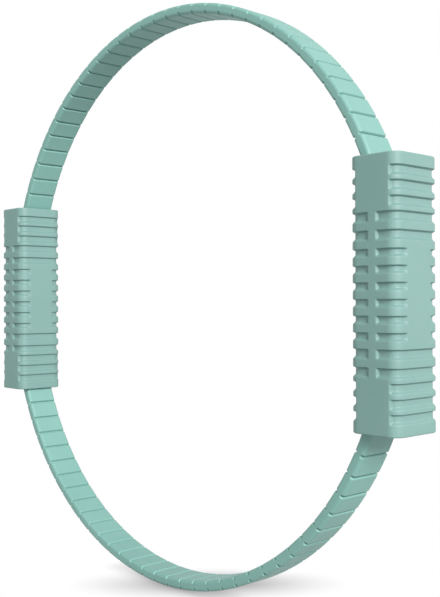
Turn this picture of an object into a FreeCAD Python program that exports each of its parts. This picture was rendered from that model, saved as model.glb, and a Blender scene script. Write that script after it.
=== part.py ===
import FreeCAD, Part
import math
import os

# Pilates ring: a springy hoop with a moulded, grooved cover and two ribbed grips.
# The hoop lies in the XZ plane about the Y axis, with the grips at +X and -X.
# The origin is the hoop's centre and +Z is up. All lengths are in millimetres.

# Hoop
hoop_inner_radius = 174.75
band_thickness = 6.5
band_width = 22.0
band_edge_chamfer = 1.2

# Grooves across the band, which let its cover bend
segments_per_half = 33
segments_per_stretch = (2, 2, 2, 2, 2, 2, 2, 3, 2, 2, 2, 2, 2, 2, 2)
groove_depth = 1.4
groove_floor_width = 0.6
groove_mouth_width = 1.4

# Spring strip inside the cover
strip_thickness = 1.2
strip_side_wall = 4.0
strip_clearance = 0.3
strip_end_gap = 6.0

# Grips
grip_length = 137.7
grip_width = 35.6
grip_inner_cover = 2.65
grip_outer_cover = 7.15
grip_corner_radius = 6.5
grip_end_fillet = 0.8
sleeve_wall = 4.5
sleeve_end_wall = 6.0
mouth_clearance = 0.3
band_insertion = 4.0

# Grip ribs: grooves at these shares of the grip's length above and below its middle
corner_groove_shares = (0.0297, 0.0892, 0.1487)
wrap_groove_shares = (0.2105, 0.276)
end_groove_shares = (0.329, 0.384, 0.437)
corner_groove_height = 3.2
wrap_groove_height = 4.1
end_groove_height = 4.2
rib_groove_depth = 1.4
end_groove_reach = 3.9
side_strip_width = 5.6
palm_panel_width = 20.0

# Clamp inside each grip
core_clearance = 0.2
parting_gap = 0.1
screw_shares = (0.25, 0.72)
screw_radius = 2.0
screw_hole_clearance = 0.25
bolt_across_flats = 7.0
head_height = 2.8
nut_thickness = 3.2

# One overrun serves all cuts
overrun = 1.0

# Sizes that follow from those above
hoop_outer_radius = hoop_inner_radius + band_thickness
mid_radius = hoop_inner_radius + band_thickness / 2
strip_width = band_width - 2 * strip_side_wall
grip_half_length = grip_length / 2
grip_end_angle = math.asin(grip_half_length / mid_radius)
pitch_angle = (math.pi - 2 * grip_end_angle) / segments_per_half
mouth_inner_x = math.sqrt(hoop_inner_radius ** 2 - grip_half_length ** 2)
grip_inner_x = mouth_inner_x - grip_inner_cover
grip_outer_x = hoop_outer_radius + grip_outer_cover
grip_middle_x = (grip_inner_x + grip_outer_x) / 2
cavity_half_length = grip_half_length - sleeve_end_wall

origin = FreeCAD.Vector(0, 0, 0)
x_direction = FreeCAD.Vector(1, 0, 0)
z_direction = FreeCAD.Vector(0, 0, 1)
# Turning about -Y carries +X towards +Z, so angles grow from +X upwards
turn_axis = FreeCAD.Vector(0, -1, 0)


def rounded_rectangle(x_low, x_high, half_width, corner):
    """A face in the XY plane, with the same round at its four corners."""
    diagonal = corner * (1 - math.sqrt(0.5))
    arcs = []
    for x_side, y_side in ((1, 1), (-1, 1), (-1, -1), (1, -1)):
        x = x_high if x_side > 0 else x_low
        y = y_side * half_width
        along_x = FreeCAD.Vector(x - x_side * corner, y, 0)
        along_y = FreeCAD.Vector(x, y - y_side * corner, 0)
        middle = FreeCAD.Vector(x - x_side * diagonal, y - y_side * diagonal, 0)
        first, last = (along_y, along_x) if x_side * y_side > 0 else (along_x, along_y)
        arcs.append((first, middle, last))
    edges = []
    for index, (first, middle, last) in enumerate(arcs):
        next_first = arcs[(index + 1) % len(arcs)][0]
        edges.append(Part.Arc(first, middle, last).toShape())
        edges.append(Part.makeLine(last, next_first))
    return Part.Face(Part.Wire(edges))


def polygon(corners):
    return Part.Face(Part.makePolygon(corners + corners[:1]))


def chamfered_rectangle(x_low, x_high, half_width, chamfer):
    """A face in the XY plane, with the same flat across its four corners."""
    corners = []
    for x_side, y_side in ((1, 1), (-1, 1), (-1, -1), (1, -1)):
        x = x_high if x_side > 0 else x_low
        y = y_side * half_width
        along_x = FreeCAD.Vector(x - x_side * chamfer, y, 0)
        along_y = FreeCAD.Vector(x, y - y_side * chamfer, 0)
        corners += [along_y, along_x] if x_side * y_side > 0 else [along_x, along_y]
    return polygon(corners)


def rectangle(x_low, x_high, half_width):
    """A face in the XY plane with square corners."""
    return polygon([
        FreeCAD.Vector(x_low, -half_width, 0),
        FreeCAD.Vector(x_high, -half_width, 0),
        FreeCAD.Vector(x_high, half_width, 0),
        FreeCAD.Vector(x_low, half_width, 0),
    ])


def sector(face, angle_from, angle_to):
    """The solid that a section in the XY plane sweeps about the hoop's axis."""
    solid = face.revolve(origin, turn_axis, math.degrees(angle_to - angle_from))
    solid.rotate(origin, turn_axis, math.degrees(angle_from))
    return solid


def turned(shape, angle):
    copy = shape.copy()
    copy.rotate(origin, turn_axis, math.degrees(angle))
    return copy


def mirrored(shape, normal):
    return shape.mirror(origin, normal)


def band_section(grow=0):
    return chamfered_rectangle(
        hoop_inner_radius - grow,
        hoop_outer_radius + grow,
        band_width / 2 + grow,
        band_edge_chamfer,
    )


def strip_section(grow=0):
    half_thickness = strip_thickness / 2 + grow
    return rectangle(mid_radius - half_thickness, mid_radius + half_thickness, strip_width / 2 + grow)


def straight(section, half_length):
    """A section in the XY plane, extruded to both sides along Z."""
    start = section.copy()
    start.translate(FreeCAD.Vector(0, 0, -half_length))
    return start.extrude(FreeCAD.Vector(0, 0, 2 * half_length))


def across_band(outline):
    """A cutter through the band's full width, from points of radius and half breadth."""
    half_width = band_width / 2 + overrun
    right = [FreeCAD.Vector(radius, -half_width, breadth) for radius, breadth in outline]
    left = [FreeCAD.Vector(radius, -half_width, -breadth) for radius, breadth in reversed(outline)]
    return polygon(right + left).extrude(FreeCAD.Vector(0, 2 * half_width, 0))


def half_groove(surface_radius, outward):
    """Half of one groove's outline, from above the surface down to its floor."""
    mouth = groove_mouth_width / 2
    floor = groove_floor_width / 2
    return [
        (surface_radius + outward * overrun, mouth),
        (surface_radius, mouth),
        (surface_radius - outward * groove_depth, floor),
    ]


def groove_pair():
    """The grooves that face each other on the band's outer and inner faces."""
    outer = across_band(half_groove(hoop_outer_radius, 1))
    inner = across_band(half_groove(hoop_inner_radius, -1))
    return outer, inner


def seam():
    """A groove pair that runs right through the cover, where two stretches part."""
    outer = half_groove(hoop_outer_radius, 1)
    inner = half_groove(hoop_inner_radius, -1)
    return across_band(outer + inner[::-1])


def band_segment():
    """One straight pad of the cover about angle zero, mitred to its neighbours, with a slot for the strip."""
    half_angle = pitch_angle / 2
    far = hoop_outer_radius + overrun
    half_length = far * math.tan(half_angle)
    between_neighbours = across_band([(0, 0), (far, half_length)])
    slot = straight(strip_section(strip_clearance), half_length)
    pad = straight(band_section(), half_length).common(between_neighbours).cut(slot)
    grooves = [turned(groove, side * half_angle) for groove in groove_pair() for side in (1, -1)]
    return pad.cut(grooves)


def band_stretch(segments):
    """A length of the cover between two seams, with its middle at angle zero."""
    reach = segments * pitch_angle / 2
    segment = band_segment()
    pads = [turned(segment, (index + 0.5) * pitch_angle - reach) for index in range(segments)]
    cover = pads[0].fuse(pads[1:]) if segments > 1 else pads[0]
    return cover.cut([turned(seam(), -reach), turned(seam(), reach)])


def upper_stretches():
    """The cover's stretches over the top, from the left grip to the right one."""
    shapes = []
    groove = 1
    made = {count: band_stretch(count) for count in set(segments_per_stretch)}
    for count in segments_per_stretch:
        middle_groove = groove + count / 2
        shapes.append(turned(made[count], math.pi - grip_end_angle - middle_groove * pitch_angle))
        groove += count
    return shapes


def screw_heights():
    """The clamp screws' places along the grip, above its middle."""
    return [share * cavity_half_length for share in screw_shares]


def upper_strip():
    """The spring strip over the top. Its ends lie inside the grips and have screw holes."""
    end_angle = math.asin(strip_end_gap / 2 / mid_radius)
    strip = sector(strip_section(), end_angle, math.pi - end_angle)
    hole_radius = screw_radius + screw_hole_clearance
    holes = []
    for height in screw_heights():
        for x_from in (-grip_outer_x, grip_inner_x):
            start = FreeCAD.Vector(x_from, 0, height)
            holes.append(Part.makeCylinder(hole_radius, grip_outer_x - grip_inner_x, start, x_direction))
    return strip.cut(holes)


def band_end():
    """The last segment of the cover above the right grip, which runs into the grip's mouth."""
    middle_angle = grip_end_angle + pitch_angle / 2
    half_length = mid_radius * math.tan(pitch_angle / 2)
    length = 2 * half_length + band_insertion
    cover = straight(band_section(), length / 2).cut(straight(strip_section(strip_clearance), length))
    cover.translate(FreeCAD.Vector(0, 0, half_length - length / 2))
    upper_side = turned(seam(), pitch_angle / 2)
    return turned(cover.cut(upper_side).Solids[0], middle_angle)


def grip_prism(inset, half_length):
    """The grip's rounded section, drawn in from its faces, to both sides of the middle."""
    section = rounded_rectangle(
        grip_inner_x + inset,
        grip_outer_x - inset,
        grip_width / 2 - inset,
        grip_corner_radius - inset,
    )
    return straight(section, half_length)


def block(x_width, y_width, height):
    """A box about the grip's middle, to mask parts of the rib grooves."""
    corner = FreeCAD.Vector(grip_middle_x - x_width / 2, -y_width / 2, -height / 2)
    return Part.makeBox(x_width, y_width, height, corner)


def rib_grooves():
    """Cutters for all grooves of one grip."""
    depth = grip_outer_x - grip_inner_x + 2 * overrun
    width = grip_width + 2 * overrun
    side_strips = block(side_strip_width, width + overrun, grip_length)
    palm_panels = block(depth + overrun, palm_panel_width, grip_length)
    plain_sides = block(depth - 2 * (overrun + end_groove_reach), width + overrun, grip_length)
    kinds = (
        (corner_groove_shares, corner_groove_height, [side_strips, palm_panels]),
        (wrap_groove_shares, wrap_groove_height, [side_strips]),
        (end_groove_shares, end_groove_height, [plain_sides]),
    )
    cutters = []
    for shares, height, masks in kinds:
        ring = grip_prism(-overrun, height / 2).cut(grip_prism(rib_groove_depth, height))
        cutter = ring.cut(masks)
        for share in shares:
            for side in (1, -1):
                copy = cutter.copy()
                copy.translate(FreeCAD.Vector(0, 0, side * share * grip_length))
                cutters += copy.Solids
    return cutters


def grip_mouth():
    """The pocket at the right grip's upper end, which the band's last segment runs into."""
    half_length = mid_radius * math.tan(pitch_angle / 2)
    length = 2 * half_length + band_insertion + mouth_clearance
    pocket = straight(band_section(mouth_clearance), length / 2)
    pocket.translate(FreeCAD.Vector(0, 0, half_length - length / 2))
    return turned(pocket, grip_end_angle + pitch_angle / 2)


def grip_sleeve():
    """The soft ribbed moulding of the right grip, hollow for the clamp, open where the band enters."""
    body = grip_prism(0, grip_half_length)
    rims = [edge for edge in body.Edges if abs(abs(edge.CenterOfMass.z) - grip_half_length) < overrun / 2]
    body = body.makeFillet(grip_end_fillet, rims)
    cavity = grip_prism(sleeve_wall, cavity_half_length)
    slot = sector(strip_section(strip_clearance), 0, grip_end_angle)
    openings = [grip_mouth(), slot]
    openings += [mirrored(opening, z_direction) for opening in openings]
    return body.cut([cavity] + openings).cut(rib_grooves())


def clamp_core():
    return grip_prism(sleeve_wall + core_clearance, cavity_half_length - core_clearance)


def parting_cylinder(radius):
    """A cylinder about the hoop's axis, wider than the grip."""
    start = FreeCAD.Vector(0, -grip_width, 0)
    return Part.makeCylinder(radius, 2 * grip_width, start, FreeCAD.Vector(0, 1, 0))


def hexagon(across_flats, length, start):
    """A hexagonal prism along X from a point on its axis."""
    corner_radius = across_flats / math.sqrt(3)
    corners = []
    for index in range(6):
        angle = index * math.pi / 3
        offset = FreeCAD.Vector(0, corner_radius * math.cos(angle), corner_radius * math.sin(angle))
        corners.append(start + offset)
    return polygon(corners).extrude(FreeCAD.Vector(length, 0, 0))


def screw_places():
    """Where the four clamp screws meet the core's inner face."""
    face_x = grip_inner_x + sleeve_wall + core_clearance
    return [
        FreeCAD.Vector(face_x, 0, side * height)
        for height in screw_heights()
        for side in (1, -1)
    ]


def core_depth():
    return grip_outer_x - grip_inner_x - 2 * (sleeve_wall + core_clearance)


def screw_bores():
    """Stepped holes through both clamp halves: a pocket for the head, a bore and a pocket for the nut."""
    cutters = []
    pocket_flats = bolt_across_flats + 2 * screw_hole_clearance
    for place in screw_places():
        before = place - FreeCAD.Vector(overrun, 0, 0)
        far = place + FreeCAD.Vector(core_depth() - nut_thickness, 0, 0)
        bore = Part.makeCylinder(screw_radius + screw_hole_clearance, core_depth(), place, x_direction)
        head_pocket = hexagon(pocket_flats, head_height + overrun, before)
        nut_pocket = hexagon(pocket_flats, nut_thickness + overrun, far)
        cutters += [bore, head_pocket, nut_pocket]
    return cutters


def clamp_inner():
    """The clamp half between the strip and the inside of the ring."""
    parting = mid_radius - strip_thickness / 2 - strip_clearance - parting_gap
    return clamp_core().common(parting_cylinder(parting)).cut(screw_bores())


def clamp_outer():
    """The clamp half outside the strip, with the channel that holds both strip ends."""
    parting = mid_radius - strip_thickness / 2 - strip_clearance
    body = clamp_core().cut(parting_cylinder(parting))
    channel = sector(strip_section(strip_clearance), -2 * grip_end_angle, 2 * grip_end_angle)
    return body.cut(channel).cut(screw_bores())


def clamp_screw(place):
    """A hexagon head screw whose head sits in its pocket and whose shank ends in the nut."""
    shank = Part.makeCylinder(screw_radius, core_depth(), place, x_direction)
    return hexagon(bolt_across_flats, head_height, place).fuse(shank)


def clamp_nut(place):
    start = place + FreeCAD.Vector(core_depth() - nut_thickness, 0, 0)
    bore = Part.makeCylinder(screw_radius, core_depth(), place, x_direction)
    return hexagon(bolt_across_flats, nut_thickness, start).cut(bore)


def right_grip_pieces():
    upper_end = band_end()
    places = screw_places()
    return {
        "grip_sleeve": grip_sleeve(),
        "clamp_inner": clamp_inner(),
        "clamp_outer": clamp_outer(),
        "clamp_screws": Part.makeCompound([clamp_screw(place) for place in places]),
        "clamp_nuts": Part.makeCompound([clamp_nut(place) for place in places]),
        "band_ends": Part.makeCompound([upper_end, mirrored(upper_end, z_direction)]),
    }


def all_nodes():
    nodes = {}
    for name, shape in right_grip_pieces().items():
        nodes["right_" + name] = shape
        nodes["left_" + name] = mirrored(shape, x_direction)
    strip = upper_strip()
    nodes["upper_spring_strip"] = strip
    nodes["lower_spring_strip"] = mirrored(strip, z_direction)
    for number, shape in enumerate(upper_stretches(), start=1):
        nodes[f"upper_band_{number:02d}"] = shape
        nodes[f"lower_band_{number:02d}"] = mirrored(shape, z_direction)
    return nodes


os.makedirs("parts", exist_ok=True)
for node_name, node_shape in all_nodes().items():
    node_shape.exportStep(f"parts/{node_name}.step")
    print(node_name, len(node_shape.Solids), "solids", round(node_shape.Volume, 1), "mm3")
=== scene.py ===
import bmesh
import bpy
import math
from mathutils import Matrix, Vector


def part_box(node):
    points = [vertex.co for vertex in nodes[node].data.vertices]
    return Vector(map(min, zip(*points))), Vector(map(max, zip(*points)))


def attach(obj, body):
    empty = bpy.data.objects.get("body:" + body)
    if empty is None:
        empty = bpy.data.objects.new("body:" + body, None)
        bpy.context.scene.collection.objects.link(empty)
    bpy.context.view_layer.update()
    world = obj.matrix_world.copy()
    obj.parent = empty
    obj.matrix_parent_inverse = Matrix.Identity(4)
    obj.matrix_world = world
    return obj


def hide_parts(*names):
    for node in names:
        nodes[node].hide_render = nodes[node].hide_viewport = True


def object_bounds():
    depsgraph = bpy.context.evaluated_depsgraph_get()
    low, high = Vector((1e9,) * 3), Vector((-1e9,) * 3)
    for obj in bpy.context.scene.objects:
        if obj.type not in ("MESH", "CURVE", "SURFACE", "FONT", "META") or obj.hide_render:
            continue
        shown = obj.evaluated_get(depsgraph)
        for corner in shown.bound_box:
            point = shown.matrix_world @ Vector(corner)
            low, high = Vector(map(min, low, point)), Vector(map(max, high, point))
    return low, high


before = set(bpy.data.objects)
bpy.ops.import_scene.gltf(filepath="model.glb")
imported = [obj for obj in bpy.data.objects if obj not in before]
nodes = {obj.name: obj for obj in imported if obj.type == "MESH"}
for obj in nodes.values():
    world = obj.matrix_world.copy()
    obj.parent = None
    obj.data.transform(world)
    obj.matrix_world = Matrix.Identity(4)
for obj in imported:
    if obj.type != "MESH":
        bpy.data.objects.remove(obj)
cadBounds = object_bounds()
scene = bpy.context.scene

# the ring stands in the XZ plane, grips at +X and -X; lengths are in metres
gripLow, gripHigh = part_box("right_grip_sleeve")
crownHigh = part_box("upper_band_08")[1]
hoopOuter = crownHigh.z          # top of the hoop
bandHalfWidth = crownHigh.y
floorHeight = cadBounds[0][2]

noiseSpan = (0.3, 0.7)           # the part of a noise that a range of roughness is spread over
toneSpan = (0.35, 0.65)          # and the part that two tones are spread over
grainNoise = (3, 0.6)            # detail and roughness of the noise in a matt grain


def linkNode(tree, source, output, target, socket):
    tree.links.new(source.outputs[output], target.inputs[socket])


def mathNode(tree, operation):
    node = tree.nodes.new("ShaderNodeMath")
    node.operation = operation
    return node


def newMaterial(name):
    material = bpy.data.materials.new(name)
    material.use_nodes = True
    tree = material.node_tree
    return material, tree, tree.nodes["Principled BSDF"]


def noiseAt(tree, scale, detail, rough=0.5):  # noise in the object's own metres
    where = tree.nodes.new("ShaderNodeTexCoord")
    noise = tree.nodes.new("ShaderNodeTexNoise")
    noise.inputs["Scale"].default_value = scale
    noise.inputs["Detail"].default_value = detail
    noise.inputs["Roughness"].default_value = rough
    linkNode(tree, where, "Object", noise, "Vector")
    return noise


def brushLines(tree, stretch, detail):  # noise drawn out along the axes that have the lower numbers
    where = tree.nodes.new("ShaderNodeTexCoord")
    along = tree.nodes.new("ShaderNodeMapping")
    along.inputs["Scale"].default_value = stretch
    brush = tree.nodes.new("ShaderNodeTexNoise")
    brush.inputs["Scale"].default_value = 1
    brush.inputs["Detail"].default_value = detail
    linkNode(tree, where, "Object", along, "Vector")
    linkNode(tree, along, "Vector", brush, "Vector")
    return brush


def toneFrom(tree, source, shader, tones):  # two tones that change with the noise
    ramp = tree.nodes.new("ShaderNodeValToRGB")
    for element, position, tone in zip(ramp.color_ramp.elements, toneSpan, tones):
        element.position = position
        element.color = (*tone, 1)
    linkNode(tree, source, "Fac", ramp, "Fac")
    linkNode(tree, ramp, "Color", shader, "Base Color")


def roughnessFrom(tree, source, shader, limits):  # roughness that changes with the noise
    spread = tree.nodes.new("ShaderNodeMapRange")
    for socket, value in zip(("From Min", "From Max", "To Min", "To Max"), (*noiseSpan, *limits)):
        spread.inputs[socket].default_value = value
    linkNode(tree, source, "Fac", spread, "Value")
    linkNode(tree, spread, "Result", shader, "Roughness")


def bumpFrom(tree, source, shader, strength, depth):
    bump = tree.nodes.new("ShaderNodeBump")
    bump.inputs["Strength"].default_value = strength
    bump.inputs["Distance"].default_value = depth
    linkNode(tree, source, "Fac", bump, "Height")
    linkNode(tree, bump, "Normal", shader, "Normal")


softRubber = {
    "hoopTones": ((0.149, 0.320, 0.281), (0.161, 0.338, 0.298)),
    "gripTones": ((0.138, 0.260, 0.236), (0.148, 0.274, 0.249)),
    "cloud": (22, 4),            # scale and detail of the slow change of tone over the moulding
    "gleam": (140, 3),           # and of the change of roughness
    "roughness": (0.52, 0.60),
    "specular": 0.7,
    "skin": (0.07, 0.28),        # weight and roughness of the thin skin left by the mould
    "grainScale": 2600,          # fine matt grain, about 0.4 mm
    "grainRelief": (0.10, 0.00012),  # strength and depth
}


def softRubberMaterial(name, tones):
    material, tree, shader = newMaterial(name)
    toneFrom(tree, noiseAt(tree, *softRubber["cloud"]), shader, tones)
    roughnessFrom(tree, noiseAt(tree, *softRubber["gleam"]), shader, softRubber["roughness"])
    shader.inputs["Specular IOR Level"].default_value = softRubber["specular"]
    skinWeight, skinRoughness = softRubber["skin"]
    shader.inputs["Coat Weight"].default_value = skinWeight
    shader.inputs["Coat Roughness"].default_value = skinRoughness
    grain = noiseAt(tree, softRubber["grainScale"], *grainNoise)
    bumpFrom(tree, grain, shader, *softRubber["grainRelief"])
    return material


nylon = {
    "tones": ((0.014, 0.015, 0.016), (0.028, 0.029, 0.030)),
    "cloud": (60, 5),            # scale and detail, as in the rubber
    "gleam": (400, 3),
    "roughness": (0.45, 0.6),
    "grainScale": 1800,
    "grainRelief": (0.2, 0.0001),
}


def clampNylonMaterial():
    material, tree, shader = newMaterial("clampNylon")
    toneFrom(tree, noiseAt(tree, *nylon["cloud"]), shader, nylon["tones"])
    roughnessFrom(tree, noiseAt(tree, *nylon["gleam"]), shader, nylon["roughness"])
    grain = noiseAt(tree, nylon["grainScale"], *grainNoise)
    bumpFrom(tree, grain, shader, *nylon["grainRelief"])
    return material


brushedMetal = {
    "springSteel": {
        "tones": ((0.42, 0.43, 0.45), (0.52, 0.53, 0.54)),
        "roughness": (0.24, 0.38),
        "stretch": (300, 6000, 300),     # lines run along the strip
    },
    "boltZinc": {
        "tones": ((0.58, 0.59, 0.60), (0.70, 0.70, 0.69)),
        "roughness": (0.25, 0.42),
        "stretch": (900, 2400, 2400),    # lines run along X
    },
    "lineDetail": 4,
    "lineRelief": (0.08, 0.00005),       # strength and depth
}


def brushedMaterial(name):
    material, tree, shader = newMaterial(name)
    finish = brushedMetal[name]
    brush = brushLines(tree, finish["stretch"], brushedMetal["lineDetail"])
    toneFrom(tree, brush, shader, finish["tones"])
    roughnessFrom(tree, brush, shader, finish["roughness"])
    shader.inputs["Metallic"].default_value = 1
    bumpFrom(tree, brush, shader, *brushedMetal["lineRelief"])
    return material


hoopRubber = softRubberMaterial("hoopRubber", softRubber["hoopTones"])
gripRubber = softRubberMaterial("gripRubber", softRubber["gripTones"])
clampNylon = clampNylonMaterial()
springSteel = brushedMaterial("springSteel")
boltZinc = brushedMaterial("boltZinc")
print("finishes made")


def finishPiece(name, bm, material, sharpAngle):
    bmesh.ops.recalc_face_normals(bm, faces=bm.faces[:])
    mesh = bpy.data.meshes.new(name)
    bm.to_mesh(mesh)
    bm.free()
    mesh.materials.append(material)
    mesh.shade_smooth()
    mesh.set_sharp_from_angle(angle=math.radians(sharpAngle))
    piece = bpy.data.objects.new(name, mesh)
    scene.collection.objects.link(piece)
    evenShade = piece.modifiers.new("evenShade", "WEIGHTED_NORMAL")  # flats stay flat beside small rounds
    evenShade.keep_sharp = True
    return piece


def joinRings(bm, rings):  # quads between neighbouring closed rings of equal count
    count = len(rings[0])
    for near, far in zip(rings, rings[1:]):
        for i in range(count):
            k = (i + 1) % count
            bm.faces.new((near[i], near[k], far[k], far[i]))


def easeShare(share):  # 0 to 1 with soft ends
    share = min(max(share, 0), 1)
    return share ** 2 * (3 - 2 * share)


hoop = {
    "thickness": 0.0065,
    "padsPerHalf": 33,
    "padsPerStretch": 2,
    "padsInCrown": 3,            # the stretch in the middle of each half
    "edgeRound": 0.0020,         # round along the band's long edges
    "edgeSteps": 8,
    "grooveDepth": 0.0014,
    "grooveFloor": 0.0006,       # width at the floor
    "grooveMouth": 0.0016,       # and between the faces, before the lips are rounded
    "lipRound": 0.0011,
    # rows of the mesh beside a groove's middle
    "lipRows": (0.00015, 0.0003, 0.00045, 0.0006, 0.00075, 0.00095, 0.0012, 0.0015),
    "runOut": 18,                # degrees of the long edge's round over which a groove fades out
    "insertion": 0.0040,         # length of band inside the grip
    "sharpAngle": 50,            # edges that turn more than this stay sharp, in degrees
}
midRadius = hoopOuter - hoop["thickness"] / 2
gripEndAngle = math.asin(gripHigh.z / midRadius)
padAngle = (math.pi - 2 * gripEndAngle) / hoop["padsPerHalf"]


def hoopPoint(angle, across, rise):
    radius = midRadius + rise
    return Vector((radius * math.cos(angle), across, radius * math.sin(angle)))


def smoothLower(first, second, blend):  # the lower of two heights, with the crease rounded
    near = max(blend - abs(first - second), 0) / blend
    return min(first, second) - near ** 2 * blend / 4


def bandOutline():
    # once round the band: place across and above its middle, way out and share of a groove's depth
    edge, steps = hoop["edgeRound"], hoop["edgeSteps"]
    flat, straight = bandHalfWidth - edge, hoop["thickness"] / 2 - edge
    outline = []
    for across, side in ((1, 1), (-1, 1), (-1, -1), (1, -1)):
        corner = []
        for step in range(steps + 1):
            turn = 90 * step / steps
            outAcross = across * math.cos(math.radians(turn))
            outRise = side * math.sin(math.radians(turn))
            corner.append((across * flat + edge * outAcross, side * straight + edge * outRise,
                           outAcross, outRise, easeShare(turn / hoop["runOut"])))
        outline += corner if across * side > 0 else corner[::-1]
    return outline


def grooveSunk(distance):  # how far a pad's surface is sunk, by the distance from a groove's middle
    depth = hoop["grooveDepth"]
    slope = 2 * depth / (hoop["grooveMouth"] - hoop["grooveFloor"])
    wall = max(0, slope * (distance - hoop["grooveFloor"] / 2)) - depth
    return -smoothLower(0, wall, hoop["lipRound"])


def padStations(startAngle):  # angles from one groove to the next, and distances from a groove's middle
    rows = hoop["lipRows"]
    first = [(startAngle - distance / midRadius, distance) for distance in rows]
    last = [(startAngle - padAngle + distance / midRadius, distance) for distance in reversed(rows)]
    return first + [(startAngle - padAngle / 2, midRadius * padAngle / 2)] + last


def seamStation(angle):  # the middle of a groove
    return (angle, 0)


def grooveAngle(number):  # grooves are counted from the left grip over the top
    return math.pi - gripEndAngle - number * padAngle


def sweepBand(name, stations, up):  # up is 1 over the top, -1 round the bottom
    bm = bmesh.new()
    outline = bandOutline()
    rings = []
    for angle, distance in stations:
        sunk = grooveSunk(distance)
        rings.append([bm.verts.new(hoopPoint(up * angle, across - outAcross * sunk * share,
                                             rise - outRise * sunk * share))
                      for across, rise, outAcross, outRise, share in outline])
    joinRings(bm, rings)
    bm.faces.new(rings[0])
    bm.faces.new(rings[-1])
    return finishPiece(name, bm, hoopRubber, hoop["sharpAngle"])


stretchCount = sum(name.startswith("upper_band_") for name in nodes)
stretchPads = [hoop["padsPerStretch"]] * stretchCount
stretchPads[stretchCount // 2] = hoop["padsInCrown"]
seamGrooves = [1 + sum(stretchPads[:k]) for k in range(stretchCount + 1)]
halves = (("upper", 1), ("lower", -1))

for half, up in halves:
    for k in range(stretchCount):
        start, end = seamGrooves[k], seamGrooves[k + 1]
        stations = [seamStation(grooveAngle(start))]
        for groove in range(start, end):
            stations += padStations(grooveAngle(groove))
        stations.append(seamStation(grooveAngle(end)))
        piece = sweepBand(f"{half}HoopStretch{k + 1:02d}", stations, up)
        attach(piece, f"{half}_stretch_{k + 1:02d}")
        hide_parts(f"{half}_band_{k + 1:02d}")
print("hoop made:", 2 * stretchCount, "stretches,", 2 * hoop["padsPerHalf"], "pads")


def bandEndStations():  # a plain length inside the left grip, then the pad beside it
    plain = midRadius * padAngle / 2
    start = [(grooveAngle(0) + hoop["insertion"] / midRadius, plain), (grooveAngle(0), plain)]
    return start + padStations(grooveAngle(0))[len(hoop["lipRows"]):] + [seamStation(grooveAngle(1))]


for half, up in halves:
    for side, flip in (("left", 1), ("right", -1)):
        stations = bandEndStations()
        if flip < 0:
            stations = [(math.pi - angle, distance) for angle, distance in stations]
        piece = sweepBand(f"{side}{half.title()}BandEnd", stations, up)
        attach(piece, f"{side}_grip")
        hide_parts(f"{side}_band_ends")
print("band ends made")


grip = {
    "cornerRadius": 0.0065,
    "cornerSteps": 10,
    "endRound": 0.0008,
    "endSteps": 4,
    # places as shares of the length above and below the middle, and heights
    "cornerGrooves": ((0.0297, 0.0892, 0.1487), 0.0032),
    "wrapGrooves": ((0.2105, 0.276), 0.0041),
    "endGrooves": ((0.329, 0.384, 0.437), 0.0042),
    "grooveDepth": 0.0014,
    "upperWall": 0.0010,         # width of a groove's upper wall, crisp
    "lowerWall": 0.0020,         # of its lower wall, a soft slope
    "endWall": 0.0016,           # and of the walls at its ends
    "endReach": 0.0045,          # end grooves stop this far from the palm faces
    "sideStrip": 0.0056,         # flat strip down the front and back
    "palmPanel": 0.0200,         # flat panel between the middle grooves
    "mouthGap": 0.0005,          # room round the band where it goes in
    "mouthRound": 0.0005,
    "mouthSteps": 3,
    "mouthCornerSteps": 5,
    "mouthDepth": 0.0044,
    "sharpAngle": 60,
}
gripLength = gripHigh.z - gripLow.z
gripMiddle = (gripLow + gripHigh) / 2
gripHalf = (gripHigh - gripLow) / 2
wallRows = (-0.5, -0.36, -0.2, 0, 0.2, 0.36, 0.5)  # mesh rows over a wall, as shares of its width
wellInside = 0.009               # far enough from a groove's end for its full depth
slack = 1e-9                     # keeps the ends of a range in it


def wallSteps(wall):  # distances inside a groove's edge at which its wall needs a row or column
    return [wall * share for share in wallRows]


def wallShare(inside, wall):  # share of the depth at a distance inside a groove's edge
    return easeShare(inside / wall + 0.5)


def pocketDepth(along, height, tall):  # along: distance inside the groove's end, height: above its middle
    upper = wallShare(tall / 2 - height, grip["upperWall"])
    lower = wallShare(tall / 2 + height, grip["lowerWall"])
    return grip["grooveDepth"] * upper * lower * wallShare(along, grip["endWall"])


def gripGrooves():  # kind, height of the middle and height of each groove
    grooves = []
    for kind in ("cornerGrooves", "wrapGrooves", "endGrooves"):
        shares, tall = grip[kind]
        grooves += [(kind, side * share * gripLength, tall) for share in shares for side in (1, -1)]
    return grooves


def gripRows(grooves):  # heights of the mesh rows, each groove's walls included
    heights = {0.0}
    for _, middle, tall in grooves:
        heights.add(middle)
        for wall, side in ((grip["upperWall"], 1), (grip["lowerWall"], -1)):
            heights |= {middle + side * (tall / 2 - step) for step in wallSteps(wall)}
    return sorted(heights)


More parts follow.
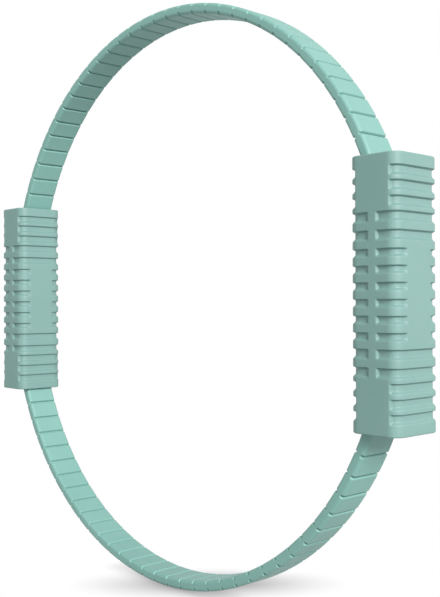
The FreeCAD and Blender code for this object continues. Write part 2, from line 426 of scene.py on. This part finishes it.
def gripOutline():
    # columns round the grip about its middle: place, way out and how far inside each kind of groove they are
    wide, broad, corner = gripHalf.x, gripHalf.y, grip["cornerRadius"]
    steps = wallSteps(grip["endWall"])
    stripEdge = grip["sideStrip"] / 2
    panelEdge = grip["palmPanel"] / 2
    reachTurn = math.asin(1 - grip["endReach"] / corner)  # where the end grooves stop on the round
    quarter = math.pi / 2

    def marks(limit, edge):  # places along one straight side, closer where a groove ends
        places = {-limit, limit, 0.0}
        places |= {side * (edge + step) for step in steps for side in (1, -1)}
        return sorted(place for place in places if abs(place) <= limit + slack)

    alongX = marks(wide - corner, stripEdge)
    alongY = marks(broad - corner, panelEdge)
    turns = {quarter * step / grip["cornerSteps"] for step in range(grip["cornerSteps"] + 1)}
    turns |= {reachTurn + step / corner for step in steps}
    turns = sorted(turn for turn in turns if 0 <= turn <= quarter + slack)
    columns = []

    def add(x, y, outX, outY, reach):
        strip = abs(x) - stripEdge if abs(y) > broad - corner else wellInside
        panel = abs(y) - panelEdge if abs(x) > wide - corner else wellInside
        columns.append((x, y, outX, outY, {
            "cornerGrooves": min(strip, panel), "wrapGrooves": strip, "endGrooves": reach}))

    def addCorner(signX, signY, order):
        for turn in order:
            outX, outY = signX * math.sin(turn), signY * math.cos(turn)
            add(signX * (wide - corner) + corner * outX, signY * (broad - corner) + corner * outY,
                outX, outY, (turn - reachTurn) * corner)

    for x in alongX[1:-1]:
        add(x, -broad, 0, -1, -wellInside)
    addCorner(1, -1, turns)
    for y in alongY[1:-1]:
        add(wide, y, 1, 0, wellInside)
    addCorner(1, 1, turns[::-1])
    for x in alongX[-2:0:-1]:
        add(x, broad, 0, 1, -wellInside)
    addCorner(-1, 1, turns)
    for y in alongY[-2:0:-1]:
        add(-wide, y, -1, 0, wellInside)
    addCorner(-1, -1, turns[::-1])
    return columns


def mouthRing(grow):  # outline of the band's mouth in the grip's end face, about the grip's middle
    end, steps = gripHalf.z, grip["mouthCornerSteps"]
    low = math.sqrt((midRadius - hoop["thickness"] / 2) ** 2 - end ** 2) - gripMiddle.x - grow
    high = math.sqrt((midRadius + hoop["thickness"] / 2) ** 2 - end ** 2) - gripMiddle.x + grow
    wide = bandHalfWidth + grow
    corner = hoop["edgeRound"] + grow
    ring = []
    for signX, signY, start in ((1, 1, 0), (-1, 1, 90), (-1, -1, 180), (1, -1, 270)):
        centreX = (high if signX > 0 else low) - signX * corner
        centreY = signY * (wide - corner)
        for step in range(steps + 1):
            turn = math.radians(start + 90 * step / steps)
            ring.append((centreX + corner * math.cos(turn), centreY + corner * math.sin(turn)))
    return ring


def gripEnd(bm, rim, up):  # end face with the band's mouth, from the rim of the rounded end
    lean = math.tan(gripEndAngle)  # the band leans outwards on its way in
    lip, steps = grip["mouthRound"], grip["mouthSteps"]
    levels = [(grip["mouthGap"] + lip, 0.0)]
    for step in range(1, steps + 1):
        turn = math.pi / 2 * step / steps
        levels.append((grip["mouthGap"] + lip * (1 - math.sin(turn)), lip * (1 - math.cos(turn))))
    levels.append((grip["mouthGap"], grip["mouthDepth"]))
    rings = []
    for grow, down in levels:
        z = up * (gripHalf.z - down)
        rings.append([bm.verts.new((x + lean * down, y, z)) for x, y in mouthRing(grow)])
    joinRings(bm, rings)
    bm.faces.new(rings[-1])
    edges = []
    for ring in (rim, rings[0]):
        for i, vert in enumerate(ring):
            other = ring[(i + 1) % len(ring)]
            edges.append(bm.edges.get((vert, other)) or bm.edges.new((vert, other)))
    bmesh.ops.triangle_fill(bm, edges=edges, use_beauty=True)


def gripMesh():  # the right grip about its own middle
    grooves = gripGrooves()
    columns = gripOutline()
    endRound = grip["endRound"]
    straight = gripHalf.z - endRound
    rounds = [math.pi / 2 * step / grip["endSteps"] for step in range(grip["endSteps"] + 1)]
    levels = [(-straight - endRound * math.sin(turn), turn) for turn in reversed(rounds)]
    levels += [(height, 0) for height in gripRows(grooves)]
    levels += [(straight + endRound * math.sin(turn), turn) for turn in rounds]
    bm = bmesh.new()
    rings = []
    for height, turn in levels:
        near = [(kind, height - middle, tall) for kind, middle, tall in grooves
                if abs(height - middle) < tall]
        drawIn = endRound * (1 - math.cos(turn))
        ring = []
        for x, y, outX, outY, inside in columns:
            sunk = drawIn + max([pocketDepth(inside[kind], above, tall) for kind, above, tall in near] + [0])
            ring.append(bm.verts.new((x - sunk * outX, y - sunk * outY, height)))
        rings.append(ring)
    joinRings(bm, rings)
    gripEnd(bm, rings[-1], 1)
    gripEnd(bm, rings[0], -1)
    return bm


for side, flip in (("right", 1), ("left", -1)):
    bm = gripMesh()
    bmesh.ops.transform(bm, matrix=Matrix.Translation((gripMiddle.x, 0, 0)), verts=bm.verts[:])
    bmesh.ops.transform(bm, matrix=Matrix.Diagonal((flip, 1, 1, 1)), verts=bm.verts[:])
    piece = finishPiece(f"{side}RibbedGrip", bm, gripRubber, grip["sharpAngle"])
    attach(piece, f"{side}_grip")
    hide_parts(f"{side}_grip_sleeve")
    print(side, "grip made:", len(piece.data.polygons), "faces")


springStrip = {
    "weldGap": 1e-6,             # points closer than this are one
    "cutGap": 1e-7,
    "sharpAngle": 30,
}


def stripLength(half, up, fromAngle, toAngle):  # the strip's own solid, cut by planes through the hoop's axis
    bm = bmesh.new()
    bm.from_mesh(nodes[f"{half}_spring_strip"].data)
    bmesh.ops.remove_doubles(bm, verts=bm.verts[:], dist=springStrip["weldGap"])
    for angle, keepSide in ((fromAngle, 1), (toAngle, -1)):
        if angle is None:
            continue
        way = Vector((math.sin(angle), 0, -up * math.cos(angle))) * keepSide  # towards smaller angles
        cut = bmesh.ops.bisect_plane(bm, geom=bm.verts[:] + bm.edges[:] + bm.faces[:],
                                     dist=springStrip["cutGap"], plane_co=(0, 0, 0), plane_no=way,
                                     clear_inner=True)
        edges = [item for item in cut["geom_cut"] if isinstance(item, bmesh.types.BMEdge)]
        bmesh.ops.triangle_fill(bm, edges=edges, use_beauty=True)
    return bm


for half, up in halves:
    seams = [grooveAngle(number) for number in seamGrooves]
    lengths = [("left_grip", None, seams[0])]
    lengths += [(f"{half}_stretch_{k + 1:02d}", seams[k], seams[k + 1]) for k in range(stretchCount)]
    lengths += [("right_grip", seams[-1], None)]
    for number, (body, fromAngle, toAngle) in enumerate(lengths):
        piece = finishPiece(f"{half}StripLength{number:02d}", stripLength(half, up, fromAngle, toAngle),
                            springSteel, springStrip["sharpAngle"])
        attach(piece, body)
        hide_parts(f"{half}_spring_strip")
print("spring strips made:", 2 * (stretchCount + 2), "lengths")

for side in ("left", "right"):
    for part, material in (("clamp_inner", clampNylon), ("clamp_outer", clampNylon),
                           ("clamp_screws", boltZinc), ("clamp_nuts", boltZinc)):
        mesh = nodes[f"{side}_{part}"].data
        mesh.materials.clear()
        mesh.materials.append(material)
print("clamps dressed")


studio = {
    "floorSize": 8.0,
    "floorCells": 8,
    "floorGrey": 0.45,           # what the paper sends back to the object
    "contactShade": 0.65,        # how pale the paper looks right under the ring, 1 is white
    "contactReach": 0.010,       # what stands within this distance shades the paper
    "softShade": {               # the soft oval shade about the place where the ring stands
        "middle": (0.019, 0.012),
        "reach": (0.092, 0.036),
        "turn": 47.5,            # degrees
        "darkest": 0.15,
        "fall": 1.5,             # a higher one fades faster
    },
    "domeLight": 0.4,
    "keyBox": {"from": (4.13, -1.67, 2.27), "size": 1.7, "power": 340},
    "frontBox": {"from": (0.2, -2.6, 0.9), "size": 2.4, "power": 12},
    "rearBox": {"from": (1.5, 1.6, 0.5), "size": 1.6, "power": 9},
    # for the sides that face away from the others, without a gleam
    "fillBox": {"from": (-2.6, 0.5, 0.1), "size": 1.6, "power": 44, "gleam": False},
}


def shownRays(tree):  # 1 for rays that show the background: camera, glossy and transmission
    rays = tree.nodes.new("ShaderNodeLightPath")
    first, second = mathNode(tree, "MAXIMUM"), mathNode(tree, "MAXIMUM")
    linkNode(tree, rays, "Is Camera Ray", first, 0)
    linkNode(tree, rays, "Is Glossy Ray", first, 1)
    linkNode(tree, first, "Value", second, 0)
    linkNode(tree, rays, "Is Transmission Ray", second, 1)
    return second


def contactShade(tree):
    nearby = tree.nodes.new("ShaderNodeAmbientOcclusion")
    nearby.inputs["Distance"].default_value = studio["contactReach"]
    contact = tree.nodes.new("ShaderNodeMapRange")
    contact.inputs["To Min"].default_value = studio["contactShade"]
    linkNode(tree, nearby, "AO", contact, "Value")
    return contact


def softShade(tree):
    oval = studio["softShade"]
    where = tree.nodes.new("ShaderNodeTexCoord")
    spot = tree.nodes.new("ShaderNodeMapping")
    spot.vector_type = "TEXTURE"
    spot.inputs["Location"].default_value = (*oval["middle"], 0)
    spot.inputs["Rotation"].default_value = (0, 0, math.radians(oval["turn"]))
    spot.inputs["Scale"].default_value = (*oval["reach"], 1)
    spread = tree.nodes.new("ShaderNodeTexGradient")
    spread.gradient_type = "SPHERICAL"
    fall = mathNode(tree, "POWER")
    fall.inputs[1].default_value = oval["fall"]
    soft = tree.nodes.new("ShaderNodeMapRange")
    soft.inputs["To Min"].default_value = 1
    soft.inputs["To Max"].default_value = oval["darkest"]
    linkNode(tree, where, "Object", spot, "Vector")
    linkNode(tree, spot, "Vector", spread, "Vector")
    linkNode(tree, spread, "Fac", fall, 0)
    linkNode(tree, fall, "Value", soft, "Value")
    return soft


def floorPaperMaterial():  # grey paper for the object, white with a shade for the rays that show it
    material, tree, shader = newMaterial("floorPaper")
    tree.nodes.remove(shader)
    paper = tree.nodes.new("ShaderNodeBsdfDiffuse")
    paper.inputs["Color"].default_value = (*[studio["floorGrey"]] * 3, 1)
    bothShades = mathNode(tree, "MULTIPLY")
    linkNode(tree, contactShade(tree), "Result", bothShades, 0)
    linkNode(tree, softShade(tree), "Result", bothShades, 1)
    white = tree.nodes.new("ShaderNodeEmission")
    linkNode(tree, bothShades, "Value", white, "Strength")
    seen = tree.nodes.new("ShaderNodeMixShader")
    linkNode(tree, shownRays(tree), "Value", seen, "Fac")
    linkNode(tree, paper, "BSDF", seen, 1)
    linkNode(tree, white, "Emission", seen, 2)
    linkNode(tree, seen, "Shader", tree.nodes["Material Output"], "Surface")
    return material


def makeFloor():
    bm = bmesh.new()
    bmesh.ops.create_grid(bm, x_segments=studio["floorCells"], y_segments=studio["floorCells"],
                          size=studio["floorSize"] / 2)
    mesh = bpy.data.meshes.new("studioFloor")
    bm.to_mesh(mesh)
    bm.free()
    mesh.materials.append(floorPaperMaterial())
    floor = bpy.data.objects.new("studioFloor", mesh)
    floor.location = (0, 0, floorHeight)
    scene.collection.objects.link(floor)


def makeWorld():
    world = bpy.data.worlds.new("studioWhite")
    world.use_nodes = True
    tree = world.node_tree
    background = tree.nodes["Background"]
    background.inputs["Color"].default_value = (1, 1, 1, 1)
    level = tree.nodes.new("ShaderNodeMapRange")
    level.inputs["To Min"].default_value = studio["domeLight"]
    level.inputs["To Max"].default_value = 1
    linkNode(tree, shownRays(tree), "Value", level, "Value")
    linkNode(tree, level, "Result", background, "Strength")
    scene.world = world


def makeBox(name):  # a soft box that looks at the middle of the ring
    setting = studio[name]
    lamp = bpy.data.lights.new(name, "AREA")
    lamp.shape = "SQUARE"
    lamp.size = setting["size"]
    lamp.energy = setting["power"]
    box = bpy.data.objects.new(name, lamp)
    box.location = setting["from"]
    box.rotation_euler = Vector(setting["from"]).to_track_quat("Z", "Y").to_euler()
    box.visible_camera = False
    box.visible_glossy = setting.get("gleam", True)
    scene.collection.objects.link(box)


makeFloor()
makeWorld()
for boxName in ("keyBox", "frontBox", "rearBox", "fillBox"):
    makeBox(boxName)
scene.view_settings.view_transform = "Standard"
print("studio lit")


view = {
    "eye": (0.45162, -0.37332, -0.0038),
    "target": (0.0, 0.0408, 0.0),
    "roll": -0.192,              # degrees
    "lens": 55.18,
    "sensor": 36.0,
    "shiftY": -0.00225,
    "nearest": 0.01,
}


def makeCamera():
    lens = bpy.data.cameras.new("photoCamera")
    lens.lens = view["lens"]
    lens.sensor_width = view["sensor"]
    lens.shift_y = view["shiftY"]
    lens.clip_start = view["nearest"]
    camera = bpy.data.objects.new("photoCamera", lens)
    eye, target = Vector(view["eye"]), Vector(view["target"])
    turn = (eye - target).to_track_quat("Z", "Y").to_matrix().to_4x4()
    camera.matrix_world = Matrix.Translation(eye) @ turn @ Matrix.Rotation(math.radians(view["roll"]), 4, "Z")
    scene.collection.objects.link(camera)
    scene.camera = camera


makeCamera()
print("camera set")
